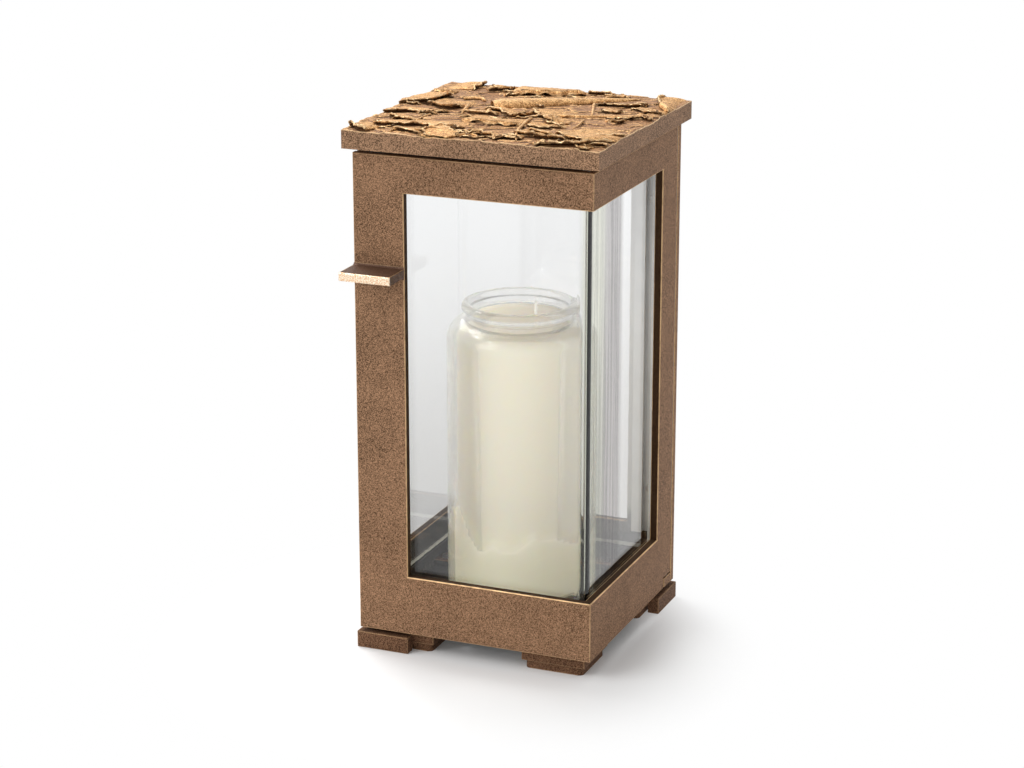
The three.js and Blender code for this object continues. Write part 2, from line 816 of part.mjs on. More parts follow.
add('base_plate', basePlate(), blackened);
add('back_shell', backShell(), bronze);
add('top_frame', topFrame(), blackened);
add('lid', lid(), barkBronze);
addScrews(lidScrew, 'lid_screw', lidScrews, cornerNames);
addScrews(smallScrew, 'base_screw', baseScrews, wallNames);
addScrews(smallScrew, 'frame_screw', frameScrews, wallNames);
corners.forEach(([sx, sy], i) => {
  add(`foot_${cornerNames[i]}`, foot(sx, sy, cornerNames[i] !== 'near'), bronze);
});
addScrews(footScrew, 'foot_screw', footScrews, cornerNames);
add('back_glass', bentGlass(fixedHalf), clearGlass);
add('back_glass_rail', glassRail(fixedHalf), blackened);
add('back_glass_strip_left', glassStrip(leftWall), blackened);
add('back_glass_strip_back', glassStrip(backWall), blackened);
addScrews(smallScrew, 'strip_left_screw', stripScrews(leftWall), stripNames);
addScrews(smallScrew, 'strip_back_screw', stripScrews(backWall), stripNames);
add('hinge_bracket', hingeBracket(), bronze);
addScrews(smallScrew, 'hinge_bracket_screw', hingeScrews, ['inner', 'outer']);
add('hinge_pin_bottom', hingePin(baseTop - pinHold, notchTop + pinRise), steel);
add('hinge_washer_bottom', washer(washerFloor, washerThick), steel);
add('hinge_pin_top', hingePin(bodyTop - pinRise, lidBottom + pinHold), steel);
add('hinge_washer_top', washer(bodyTop + seat, lidGap - 2 * seat), steel);
add('catch_block', catchBlock(), blackened);
add('catch_magnet', magnet(), magnetGrey);
add('catch_block_screw', screw(smallScrew, blockScrew), steel);
add('door_shell', doorShell(), bronze);
add('door_handle', doorHandle(), brightBronze);
addScrews(smallScrew, 'handle_screw', handleScrews, ['outer', 'inner']);
add('door_glass', bentGlass(doorHalf), clearGlass);
add('door_glass_rail', glassRail(doorHalf), blackened);
add('door_glass_strip_front', glassStrip(frontWall), blackened);
add('door_glass_strip_side', glassStrip(sideWall), blackened);
addScrews(smallScrew, 'strip_front_screw', stripScrews(frontWall), stripNames);
addScrews(smallScrew, 'strip_side_screw', stripScrews(sideWall), stripNames);
add('catch_keeper', keeper(), steel);
add('candle_jar', candleJar(), clearGlass);
add('candle_wax', candleWax(), ivoryWax);
add('wick_holder', wickHolder(), steel);
add('candle_wick', candleWick(), cotton);

// The handle stands out in front, so the body sits back by half of the difference
const part = new THREE.Group();
lantern.position.set(0, (handleReach - lidOverhang) / 2, 0);
part.add(lantern);

export default part;
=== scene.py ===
import math
import random

import bmesh
import bpy
import numpy as np
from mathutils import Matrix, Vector, kdtree, noise


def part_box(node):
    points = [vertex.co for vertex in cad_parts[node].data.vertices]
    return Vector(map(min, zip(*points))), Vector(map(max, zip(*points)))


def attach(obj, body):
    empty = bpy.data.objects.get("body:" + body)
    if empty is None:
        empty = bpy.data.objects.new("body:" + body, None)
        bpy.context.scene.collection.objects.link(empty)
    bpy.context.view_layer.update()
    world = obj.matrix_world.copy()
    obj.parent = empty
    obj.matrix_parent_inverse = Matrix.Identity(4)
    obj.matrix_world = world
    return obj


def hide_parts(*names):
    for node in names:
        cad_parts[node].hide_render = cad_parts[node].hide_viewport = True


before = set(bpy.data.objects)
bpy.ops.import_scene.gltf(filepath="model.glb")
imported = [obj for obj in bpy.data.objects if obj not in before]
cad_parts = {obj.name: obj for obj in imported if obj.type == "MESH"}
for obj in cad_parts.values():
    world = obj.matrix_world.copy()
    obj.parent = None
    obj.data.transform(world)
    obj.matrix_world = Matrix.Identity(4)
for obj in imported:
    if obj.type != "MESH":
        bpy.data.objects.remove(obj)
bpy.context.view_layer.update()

# Setting: the lantern stands on a white sweep in an even studio light, seen from its front right,
# a little from above, with a long lens.
eye = Vector((0.5182, -1.2628, 0.5556))
azimuth, elevation = math.radians(22.39), math.radians(17.07)
looking = Vector((
    -math.sin(azimuth) * math.cos(elevation),
    math.cos(azimuth) * math.cos(elevation),
    -math.sin(elevation),
))
lens = bpy.data.cameras.new("camera")
lens.lens = 95.4
lens.sensor_width = 36
camera = bpy.data.objects.new("camera", lens)
camera.location = eye
camera.rotation_mode = "QUATERNION"
camera.rotation_quaternion = looking.to_track_quat("-Z", "Y")
bpy.context.scene.collection.objects.link(camera)
bpy.context.scene.camera = camera
bpy.context.scene.view_settings.view_transform = "Standard"


class Value:
    """A socket in a node tree; arithmetic on it adds Math nodes."""

    def __init__(self, tree, socket):
        self.tree, self.socket = tree, socket

    def math(self, operation, *others):
        sockets = {i: value for i, value in enumerate([self, *others])}
        return self.tree.node("ShaderNodeMath", {"operation": operation}, sockets)

    def __add__(self, other):
        return self.math("ADD", other)

    def __mul__(self, other):
        return self.math("MULTIPLY", other)

    def __sub__(self, other):
        return self.math("SUBTRACT", other)

    def __rsub__(self, other):
        return self.tree.node("ShaderNodeMath", {"operation": "SUBTRACT"}, {0: other, 1: self})

    __radd__, __rmul__ = __add__, __mul__

    def limited(self, low, high):
        """0 below low, 1 above high and smooth between."""
        settings = {"interpolation_type": "SMOOTHSTEP"}
        return self.tree.node("ShaderNodeMapRange", settings, {0: self, 1: low, 2: high, 3: 0.0, 4: 1.0})


class Tree:
    """The node tree of a material or of the world."""

    def __init__(self, owner):
        owner.use_nodes = True
        self.nodes, self.links = owner.node_tree.nodes, owner.node_tree.links
        self.nodes.clear()

    def node(self, kind, settings=None, sockets=None, output=0):
        made = self.nodes.new(kind)
        for key, value in (settings or {}).items():
            setattr(made, key, value)
        for key, value in (sockets or {}).items():
            if isinstance(value, Value):
                self.links.new(value.socket, made.inputs[key])
            elif isinstance(value, tuple) and made.inputs[key].type == "RGBA":
                made.inputs[key].default_value = (*value, 1.0)
            else:
                made.inputs[key].default_value = value
        return Value(self, made.outputs[output]) if made.outputs else None

    def blend(self, share, first, second):
        """A colour between first and second."""
        settings = {"data_type": "RGBA", "blend_type": "MIX", "clamp_factor": True}
        return self.node("ShaderNodeMix", settings, {0: share, 6: first, 7: second}, output=2)

    def spot(self, place, turn=(0.0, 0.0, 0.0), stretch=(1.0, 1.0, 1.0)):
        """Object coordinates, moved, turned and stretched."""
        here = self.node("ShaderNodeTexCoord", output=3)
        sockets = {0: here, 1: place, 2: turn, 3: stretch}
        return self.node("ShaderNodeMapping", {"vector_type": "POINT"}, sockets)

    def grain(self, where, scale, detail=2.0, roughness=0.5):
        return self.node("ShaderNodeTexNoise", None, {0: where, 2: scale, 3: detail, 4: roughness})

    def bump(self, height, strength, distance):
        sockets = {"Strength": strength, "Distance": distance, "Height": height}
        return self.node("ShaderNodeBump", None, sockets)


def finish(name, sockets, build=None):
    """A material on one Principled shader: sockets are its values, and build adds what changes."""
    material = bpy.data.materials.new(name)
    tree = Tree(material)
    values = dict(sockets)
    if build:
        values.update(build(tree))
    surface = tree.node("ShaderNodeBsdfPrincipled", None, values)
    tree.node("ShaderNodeOutputMaterial", None, {0: surface})
    return material


sky = bpy.data.worlds.new("studio")
bpy.context.scene.world = sky
tree = Tree(sky)
seen = tree.node("ShaderNodeLightPath", output=0) + tree.node("ShaderNodeLightPath", output=6)
seen = seen.math("MINIMUM", 1.0)
rightward = tree.node("ShaderNodeSeparateXYZ", None, {0: tree.node("ShaderNodeTexCoord", output=0)})
level = seen + (1.0 - seen) * (0.72 - 0.22 * rightward)
tree.node("ShaderNodeOutputWorld", None, {
    0: tree.node("ShaderNodeBackground", None, {0: (1.0, 1.0, 1.0), 1: level}),
})


def softbox(name, place, aim, size, power):
    lamp = bpy.data.lights.new(name, "AREA")
    lamp.shape, lamp.size, lamp.energy = "SQUARE", size, power
    box = bpy.data.objects.new(name, lamp)
    box.location = place
    box.rotation_mode = "QUATERNION"
    box.rotation_quaternion = (Vector(aim) - Vector(place)).to_track_quat("-Z", "Y")
    bpy.context.scene.collection.objects.link(box)


softbox("key", (-1.4, -1.7, 1.5), (0, 0, 0.14), 1.6, 29)
softbox("top", (-1.0, 0.5, 1.7), (0, 0, 0.2), 0.9, 20)

shape = bmesh.new()
bmesh.ops.create_grid(shape, x_segments=8, y_segments=8, size=8.0)
floor_mesh = bpy.data.meshes.new("floor")
shape.to_mesh(floor_mesh)
shape.free()
floor = bpy.data.objects.new("floor", floor_mesh)
bpy.context.scene.collection.objects.link(floor)
fade = (0.09, 0.165)
paper = bpy.data.materials.new("paper")
tree = Tree(paper)
from_lantern = tree.spot((0.02, 0.035, 0))
reach = tree.node("ShaderNodeVectorMath", {"operation": "LENGTH"}, {0: from_lantern}, output=1)
matt = tree.node("ShaderNodeBsdfDiffuse", None, {0: (0.87, 0.87, 0.87)})
seen = tree.node("ShaderNodeLightPath", output=0)
seen = seen + tree.node("ShaderNodeLightPath", output=3) + tree.node("ShaderNodeLightPath", output=6)
lift = tree.node("ShaderNodeEmission", None, {0: (1.0, 1.0, 1.0), 1: 0.04 * seen.math("MINIMUM", 1.0)})
near = tree.node("ShaderNodeAddShader", None, {0: matt, 1: lift})
far = tree.node("ShaderNodeEmission", None, {0: (1.0, 1.0, 1.0), 1: 1.0})
tree.node("ShaderNodeOutputMaterial", None, {
    0: tree.node("ShaderNodeMixShader", None, {0: reach.limited(*fade), 1: near, 2: far}),
})
floor_mesh.materials.append(paper)

# Body: two cast bronze shells that meet at the left and at the far right corner, the left and back
# walls fixed and the front and right walls a door. Blasted, patinated brown; the copper on the edges is
# partly rubbed bare and partly a painted highlight, and the window reveals carry painted shadow.
axis_y = sum(corner.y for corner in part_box("back_glass")) / 2 + sum(c.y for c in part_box("door_glass")) / 2
axis_y /= 2
shell_low, shell_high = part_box("door_shell")
wall = 0.0045
inner_half = shell_high.x - wall
patina_dark = (0.042, 0.021, 0.011)
patina_light = (0.465, 0.268, 0.154)
copper = (0.900, 0.600, 0.320)
window_half = 0.037
sill = 0.043
reveal_low, reveal_high = shell_low.z + 0.02, shell_high.z - 0.01
body_ease = 0.0005
weld = 1e-6


def patina(tree, dark=patina_dark, light=patina_light, grit=2400.0, rub_and_highlight=1.0):
    """Brown patina over a blasted skin; copper on the eased edges, partly wear and partly a painted
    highlight, and a painted shadow where the shade mask is set.
    """
    here = tree.spot((0, 0, 0))
    slanted = tree.spot((0, 0, 0), turn=(0.6, 0.4, 0.8))
    fine = tree.grain(slanted, grit, 1.0, 0.4)
    coarse = tree.grain(slanted, grit * 0.38, 1.5, 0.65)
    broad = tree.grain(here, 38.0, 3.0, 0.6)
    tone = fine.limited(0.41, 0.59) * 0.64 + coarse.limited(0.34, 0.66) * 0.24
    tone = tone + broad.limited(0.3, 0.7) * 0.12
    colour = tree.blend(tone, dark, light)
    # Painted shadow: faces with the shade mask (the window reveals) go nearly black-brown.
    shade = tree.node("ShaderNodeAttribute", {"attribute_name": "shade"}, output=2)
    colour = tree.blend(shade * 0.92, colour, (0.034, 0.016, 0.007))
    # Copper on the eased edges: partly rubbed bare, partly a painted highlight.
    wear_and_highlight = tree.node("ShaderNodeAttribute", {"attribute_name": "wear_and_highlight"}, output=2)
    wear_and_highlight = wear_and_highlight * (0.6 + 0.4 * tree.grain(here, 160.0, 2.0).limited(0.35, 0.6)) * rub_and_highlight
    return {
        "Base Color": tree.blend(wear_and_highlight, colour, copper),
        "Roughness": 0.62 - 0.22 * wear_and_highlight,
        "Normal": tree.bump(fine + coarse, 0.5, 0.0003),
    }


def rub_and_highlight_level(middle):
    """How bright the copper on an eased edge of the body is, partly rubbed bare and partly a painted
    highlight: most on the sills, least on the long corners.
    """
    x, y = abs(middle.x), abs(middle.y - axis_y)
    if min(x, y) > window_half + 0.002:
        return 0.4 if min(x, y) > shell_high.x - 0.003 else 0.45
    if reveal_low < middle.z < reveal_high:
        return 1.0 if middle.z < sill + 0.002 else 0.6
    return 0.4


bronze_finish = finish("brown_patina", {"Metallic": 0.45, "Specular IOR Level": 0.06}, patina)


def inner_grey_painted_sheen(tree):
    """The inner side: dark grey below the sill, and a near-white painted reflection above it."""
    z = tree.node("ShaderNodeSeparateXYZ", None, {0: tree.spot((0, 0, 0))}, output=2)
    above = (z - sill).limited(0.0, 0.012)
    values = patina(tree, (0.05, 0.045, 0.043), (0.11, 0.10, 0.096), 700.0, 0.0)
    values["Base Color"] = tree.blend(above, values["Base Color"], (0.92, 0.91, 0.90))
    return values


inside_finish = finish("inner_grey_and_painted_sheen", {"Metallic": 0.2, "Specular IOR Level": 0.3}, inner_grey_painted_sheen)


def eased(node, width, least=0.006, materials=(bronze_finish,), shaded=None, inner=None):
    """A cast piece made from its solid, its long outer edges eased and given copper (wear and painted
    highlight); faces picked by shaded get painted shadow.
    """
    shape = bmesh.new()
    shape.from_mesh(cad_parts[node].data)
    bmesh.ops.remove_doubles(shape, verts=shape.verts, dist=weld)
    bmesh.ops.dissolve_limit(shape, angle_limit=0.01, verts=shape.verts, edges=shape.edges)
    wear_and_highlight = shape.faces.layers.float.new("wear_and_highlight")
    shade = shape.faces.layers.float.new("shade")
    corners = [
        edge for edge in shape.edges
        if edge.is_manifold and edge.calc_face_angle_signed() > 0.6 and edge.calc_length() > least
    ]
    eases = bmesh.ops.bevel(
        shape, geom=corners, offset=width, affect="EDGES", segments=2, profile=0.5,
        material=-1, clamp_overlap=False,
    )
    for face in eases["faces"]:
        face[wear_and_highlight] = rub_and_highlight_level(face.calc_center_median())
    for face in shape.faces:
        middle = face.calc_center_median()
        if not face[wear_and_highlight] and shaded and shaded(middle, face.normal):
            face[shade] = 1.0
        if inner and inner(middle, face.normal):
            face.material_index = 1
            face[wear_and_highlight] = 0.0
    bmesh.ops.remove_doubles(shape, verts=shape.verts, dist=weld)
    bmesh.ops.triangulate(shape, faces=[face for face in shape.faces if len(face.verts) > 4])
    return piece(node + "_cast", shape, materials)


def piece(name, shape, materials, smooth=False):
    """An object made from a bmesh, which is then freed."""
    mesh = bpy.data.meshes.new(name)
    shape.to_mesh(mesh)
    shape.free()
    for leftover in ("custom_normal", "sharp_face", "UVMap"):
        if leftover in mesh.attributes:
            mesh.attributes.remove(mesh.attributes[leftover])
    for face in mesh.polygons:
        face.use_smooth = smooth
    for material in materials:
        mesh.materials.append(material)
    made = bpy.data.objects.new(name, mesh)
    bpy.context.scene.collection.objects.link(made)
    return made


def in_reveal(middle, normal):
    """True on the cut sides of a window, inside the thickness of a wall, where painted shadow goes."""
    reach = max(abs(middle.x), abs(middle.y - axis_y))
    inside = abs(normal.z) > 0.9 or inner_half - 1e-4 < reach < inner_half + wall - 1e-4
    return inside and reveal_low < middle.z < reveal_high


def faces_in(middle, normal):
    """True on a wall's inner side."""
    out = Vector((middle.x, middle.y - axis_y, 0.0))
    return max(abs(out.x), abs(out.y)) < inner_half + 2e-4 and abs(normal.z) < 0.5


for node, body in (("door_shell", "door"), ("back_shell", "lantern")):
    cast = eased(node, body_ease, materials=(bronze_finish, inside_finish), shaded=in_reveal, inner=faces_in)
    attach(cast, body)
    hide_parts(node)

# Feet: a cast block under each corner with a smaller tread; three wear a raised shoe round the outside.
# The body's patina darkened as painted shade near the floor, and less copper (wear and painted highlight) on
# the edges.
foot_finish = finish(
    "foot_patina_painted_shade",
    {"Metallic": 0.45, "Specular IOR Level": 0.06},
    lambda tree: patina(tree, (0.028, 0.013, 0.007), (0.290, 0.155, 0.088), rub_and_highlight=0.45),
)
for corner in ("left", "near", "right", "back"):
    cast = eased("foot_" + corner, body_ease, least=0.004, materials=(foot_finish,))
    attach(cast, "lantern")
    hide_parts("foot_" + corner)

# Hinge: a bracket whose lug shows as a small tab at the far right corner, with two steel pins,
# washers and screws. Steel parts are satin, slightly dulled.
cast = eased("hinge_bracket", 0.0004, least=0.003)
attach(cast, "lantern")
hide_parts("hinge_bracket")


def brushed(tree):
    """Satin steel with fine upright lines."""
    here = tree.spot((0, 0, 0), stretch=(1.0, 1.0, 0.1))
    lines = tree.grain(here, 2200.0, 2.0)
    clouds = tree.grain(tree.spot((0, 0, 0)), 180.0)
    return {
        "Base Color": tree.blend(clouds, (0.45, 0.44, 0.43), (0.66, 0.65, 0.63)),
        "Roughness": 0.28 + 0.2 * lines,
    }


def mottled(scale, first, second, roughness, spread, fine):
    """What changes in a plain finish: clouds of two colours, and a roughness with a grain of its own."""
    def build(tree):
        return {
            "Base Color": tree.blend(tree.grain(tree.spot((0, 0, 0)), scale), first, second),
            "Roughness": roughness + spread * tree.grain(tree.spot((0, 0, 0)), fine),
        }
    return build


steel_finish = finish("satin_steel", {"Metallic": 1.0}, brushed)
nickel = mottled(300.0, (0.40, 0.41, 0.43), (0.58, 0.58, 0.60), 0.25, 0.15, 900.0)
magnet_finish = finish("nickel", {"Metallic": 1.0}, nickel)
aged = mottled(900.0, (0.07, 0.045, 0.032), (0.22, 0.15, 0.105), 0.5, 0.2, 400.0)
aged_finish = finish("aged_steel", {"Metallic": 0.6}, aged)
for name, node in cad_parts.items():
    if "screw" in name or "pin" in name or "washer" in name or name in ("catch_keeper", "wick_holder"):
        node.data.materials.clear()
        turning = "pin" in name or "washer" in name
        node.data.materials.append(aged_finish if turning else steel_finish)
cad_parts["catch_magnet"].data.materials.clear()
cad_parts["catch_magnet"].data.materials.append(magnet_finish)

# Base plate, top frame, glass rails and catch block: blackened metal with a little grey dust on its
# flats. The strips that hold the panes are pale zinc-plated sheet, screwed to the posts.


def blackening(tree):
    """Black metal, greyer where dust lies."""
    here = tree.spot((0, 0, 0))
    dust = tree.grain(here, 60.0, 4.0, 0.6).limited(0.35, 0.75)
    return {
        "Base Color": tree.blend(dust, (0.012, 0.010, 0.009), (0.055, 0.050, 0.047)),
        "Roughness": 0.35 + 0.25 * dust,
        "Normal": tree.bump(tree.grain(here, 1400.0), 0.15, 0.0002),
    }


black_finish = finish("blackened", {"Metallic": 0.3}, blackening)
spangle = mottled(120.0, (0.76, 0.76, 0.76), (0.92, 0.92, 0.91), 0.4, 0.2, 400.0)
zinc_finish = finish("zinc", {"Metallic": 0.2, "Specular IOR Level": 0.4}, spangle)
for name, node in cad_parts.items():
    strip = name.split("_")[-2:-1] == ["strip"]
    if name in ("base_plate", "top_frame", "catch_block") or "rail" in name or strip:
        node.data.materials.clear()
        node.data.materials.append(zinc_finish if strip else black_finish)

# Handle: a bronze ledge across the left post, dark on top and brushed copper bright on its end.
end_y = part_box("door_handle")[0].y


def rubbed(tree):
    """Dark patina, with the front end of the ledge rubbed to bare copper."""
    here = tree.spot((0, 0, 0))
    values = patina(tree, (0.060, 0.028, 0.016), (0.170, 0.092, 0.056))
    y = tree.node("ShaderNodeSeparateXYZ", None, {0: here}, output=1)
    face = 1.0 - (y - end_y).limited(0.0004, 0.0012)
    speckle = tree.grain(here, 1500.0, 1.0)
    bright = tree.blend(speckle.limited(0.36, 0.62), (0.78, 0.44, 0.24), (1.00, 0.90, 0.70))
    return {
        "Base Color": tree.blend(face, values["Base Color"], bright),
        "Roughness": 0.5 - 0.15 * face,
        "Normal": values["Normal"],
    }


ledge_finish = finish("rubbed_patina", {"Metallic": 0.4, "Specular IOR Level": 0.3}, rubbed)
cast = eased("door_handle", 0.0004, least=0.003, materials=(ledge_finish,))
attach(cast, "door")
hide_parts("door_handle")

# Lid: a thick bronze slab, its top cast from peeling bark: layered sheets with torn, curled edges,
# a big tapered roll and a few twigs, golden where it stands out, dark in the hollows and under the
# lips (deeper patina and painted shadow), and copper on the lips and crests (wear and painted highlight).
lid_low, lid_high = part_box("lid")
lid_side = lid_high.x - lid_low.x
lid_middle = (lid_low + lid_high) / 2
slab_top = lid_low.z + 0.0088
grain_turn = math.radians(24)


def swell(x, y):
    """The slow rise and fall of the bark, in millimetres, at a place on the lid."""
    along = (x * math.cos(grain_turn) + y * math.sin(grain_turn)) * 1000
    across = (y * math.cos(grain_turn) - x * math.sin(grain_turn)) * 1000
    return along, across, 0.75 + 0.8 * noise.noise((along / 34, across / 15, 3.0))


def bark_ground(x, y):
    """Height of the slab's own relief above its edge level, in millimetres."""
    along, across, height = swell(x, y)
    for layer, rise in enumerate((0.7, 0.6)):
        level = noise.noise((along / 24, across / 11, 7.0 + 5 * layer))
        level += 0.12 * noise.noise((along / 4, across / 2.5, 11.0 * layer))
        over = min(1.0, max(0.0, level / 0.03))
        height += rise * over * (0.6 + 0.6 * math.exp(-max(0.0, level) / 0.08))
    height += (
        0.2 * noise.noise((along / 8, across / 1.6, 2.0))
        + 0.07 * noise.noise((along / 2, across / 0.6, 9.0))
    )
    edge = (lid_side / 2 - max(abs(x), abs(y))) * 1000
    rim = min(1.0, max(0.0, (edge + 1.2 * noise.noise((x * 180, y * 180, 1.0))) / 1.6))
    return height * (0.7 + 0.3 * rim)


def bark_finish_nodes(tree):
    """Streaked and stippled bark: gold where it is raised, brown lower down, darkened by painted shadow (with
    deeper patina) in the hollows and under the lips, copper where wear and a painted highlight are marked.
    """
    here = tree.spot((0, 0, 0))
    along = tree.spot((0, 0, 0), turn=(0, 0, -grain_turn), stretch=(0.35, 1.0, 1.0))
    streaks = tree.grain(along, 700.0, 4.0, 0.6)
    stipple = tree.grain(tree.spot((0, 0, 0), turn=(0.6, 0.4, 0.8)), 1500.0, 1.0, 0.5)
    broad = tree.grain(here, 45.0, 3.0, 0.6)
    mixed = (streaks * 0.5 + stipple * 0.5).limited(0.39, 0.61)
    gold = tree.blend(mixed, (0.370, 0.162, 0.052), (1.000, 0.610, 0.265))
    brown = tree.blend(mixed, (0.190, 0.090, 0.044), (0.570, 0.310, 0.150))
    raised = tree.node("ShaderNodeAttribute", {"attribute_name": "raised"}, output=2)
    colour = tree.blend((raised + broad * 0.8 - 0.5).limited(0.05, 0.6), brown, gold)
    # Painted shadow: slab hollows, sheet undersides, under the rolls and beside the lips go nearly black.
    patina_and_painted_shade = tree.node("ShaderNodeAttribute", {"attribute_name": "patina_and_painted_shade"}, output=2)
    colour = tree.blend(patina_and_painted_shade * 0.9, colour, (0.030, 0.014, 0.008))
    # Copper on lips, crests, roll tops and the slab's top edge: wear and painted highlight.
    wear_and_highlight = tree.node("ShaderNodeAttribute", {"attribute_name": "wear_and_highlight"}, output=2)
    wear_and_highlight = wear_and_highlight * tree.grain(here, 500.0, 2.0).limited(0.2, 0.5)
    return {
        "Base Color": tree.blend(wear_and_highlight * 0.85, colour, (1.00, 0.74, 0.42)),
        "Roughness": 0.5 - 0.12 * wear_and_highlight,
        "Normal": tree.bump(mixed, 0.6, 0.0004),
    }


bark_finish = finish("bark_patina", {"Metallic": 0.4, "Specular IOR Level": 0.25}, bark_finish_nodes)
lid_edge_finish = finish(
    "lid_edge_patina",
    {"Metallic": 0.45, "Specular IOR Level": 0.15},
    lambda tree: patina(tree, (0.050, 0.026, 0.014), (0.485, 0.288, 0.168), 2050.0),
)

cells = 260
shape = bmesh.new()
bmesh.ops.create_grid(shape, x_segments=cells, y_segments=cells, size=lid_side / 2)
shape.verts.ensure_lookup_table()
raised = shape.verts.layers.float.new("raised")
patina_and_painted_shade = shape.verts.layers.float.new("patina_and_painted_shade")
wear_and_highlight = shape.verts.layers.float.new("wear_and_highlight")
heights = np.array([bark_ground(v.co.x, v.co.y) for v in shape.verts])
order = np.lexsort((
    np.array([round(v.co.x * 1e6) for v in shape.verts]),
    np.array([round(v.co.y * 1e6) for v in shape.verts]),
))
field = heights[order].reshape(cells + 1, cells + 1)
mean = np.copy(field)
for _ in range(10):
    padded = np.pad(mean, 1, mode="edge")
    beside = padded[:-2, 1:-1] + padded[2:, 1:-1] + padded[1:-1, :-2] + padded[1:-1, 2:]
    mean = (beside + padded[1:-1, 1:-1]) / 5
relief = (field - mean).ravel()
for place, i in enumerate(order):
    vert = shape.verts[int(i)]
    vert.co.z = slab_top + field.ravel()[place] / 1000
    # Crests take copper (wear and painted highlight); hollows are darkened, deeper patina with painted
    # shadow.
    vert[raised] = min(1.0, max(0.0, 0.22 + relief[place] * 1.6))
    vert[patina_and_painted_shade] = min(1.0, max(0.0, -relief[place] * 4.0 - 0.1))
    vert[wear_and_highlight] = min(0.6, max(0.0, relief[place] * 2.2 - 0.5))
for vert in shape.verts:
    if vert.is_boundary:
        vert[wear_and_highlight] = 1.0
        vert[patina_and_painted_shade] = 0.0
bmesh.ops.translate(shape, verts=shape.verts, vec=(lid_middle.x, lid_middle.y, 0))
rim = [edge for edge in shape.edges if edge.is_boundary]
for drop in (0.0005, lid_high.z):
    skirt = bmesh.ops.extrude_edge_only(shape, edges=rim)["geom"]
    lower = {item for item in skirt if isinstance(item, bmesh.types.BMVert)}
    for vert in lower:
        vert.co.z = max(lid_low.z, vert.co.z - drop)
        vert[wear_and_highlight] = 0.0
    rim = [item for item in skirt if isinstance(item, bmesh.types.BMEdge) and lower.issuperset(item.verts)]
bmesh.ops.contextual_create(shape, geom=rim)
bmesh.ops.recalc_face_normals(shape, faces=shape.faces)
for face in shape.faces:
    out = face.calc_center_median() - lid_middle
    if max(abs(out.x), abs(out.y)) > lid_side / 2 - 1e-5 or face.normal.z < -0.5:
        face.material_index = 1
lid_cast = piece("lid_cast", shape, (bark_finish, lid_edge_finish), smooth=True)
lid_cast.data.set_sharp_from_angle(angle=math.radians(50))
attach(lid_cast, "lantern")
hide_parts("lid")

